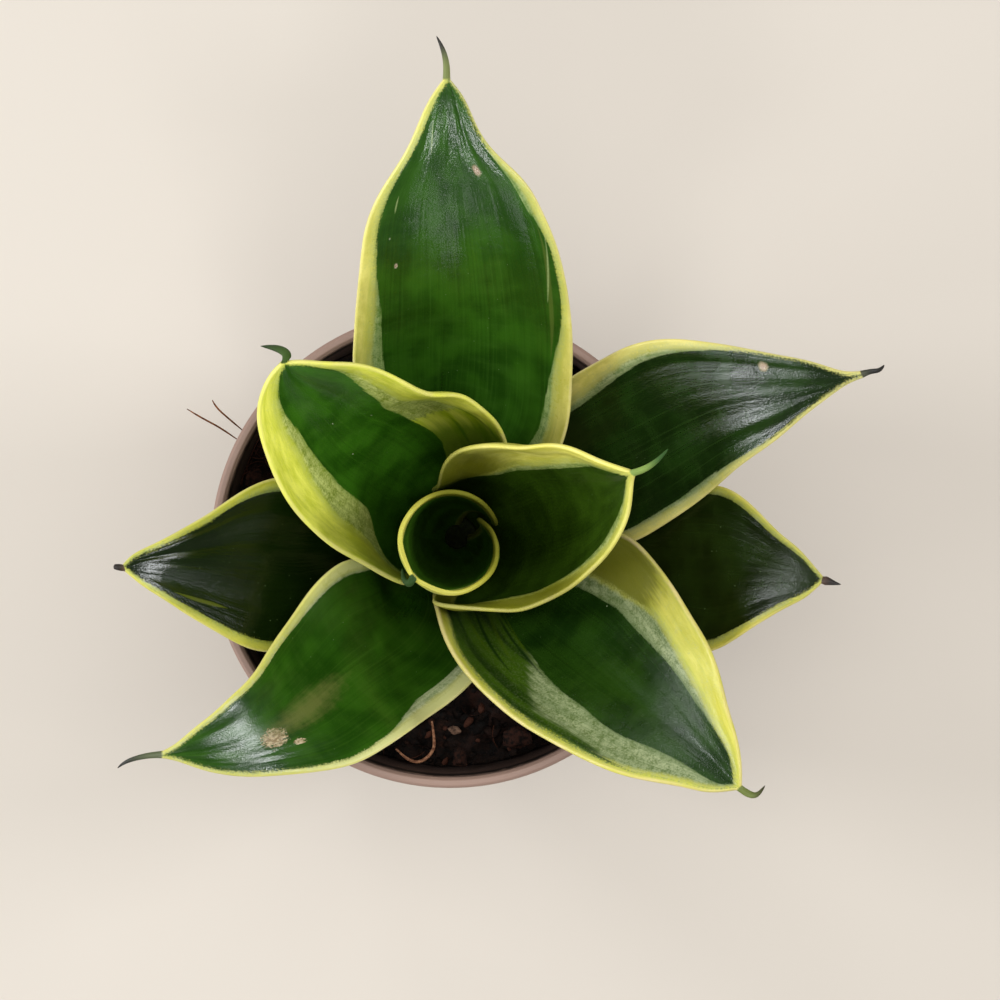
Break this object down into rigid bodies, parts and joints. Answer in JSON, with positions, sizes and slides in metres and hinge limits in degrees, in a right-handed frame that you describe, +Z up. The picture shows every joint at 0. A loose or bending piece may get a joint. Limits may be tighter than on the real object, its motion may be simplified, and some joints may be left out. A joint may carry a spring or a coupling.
{
  "type": "potted snake plant",
  "caption": "Dwarf rosette snake plant with broad dark green, yellow-edged leaves around a rolled centre leaf, growing in a small round brown nursery pot",
  "frame": {"origin": "centre of the pot's flat underside, on the pot's axis", "axes": "+Z up along the pot's axis; +Y is the way the longest leaf points, +X to its right seen from above"},
  "size_m": [0.1478, 0.1462, 0.1644],
  "materials": {
    "pot": "thin moulded nursery-pot plastic, taupe brown, satin, slightly dusty",
    "soil": "moist dark peat and bark potting mix, crumbly",
    "crown": "buried fleshy stem, dull",
    "leaf": "waxy leaf skin, semi-gloss, dark green with yellow margins and a grey-green speckled band",
    "root": "thin woody root, satin",
    "coir": "dry coconut fibre",
    "bark": "weathered bark crumb",
    "perlite": "porous pale grain stained by peat"
  },
  "bodies": {
    "root": {"pot": "pot", "soil": "soil", "crown": "crown", "leaf_1": "leaf", "leaf_2": "leaf", "leaf_3": "leaf", "leaf_4": "leaf", "leaf_5": "leaf", "leaf_6": "leaf", "leaf_7": "leaf", "leaf_8": "leaf", "leaf_9": "leaf", "surface_root": "root", "coir_fibre_1": "coir", "coir_fibre_2": "coir", "bark_chip_1": "bark", "bark_chip_2": "bark", "bark_chip_3": "bark", "bark_chip_4": "bark", "perlite_grain": "perlite"}
  },
  "joints": []
}
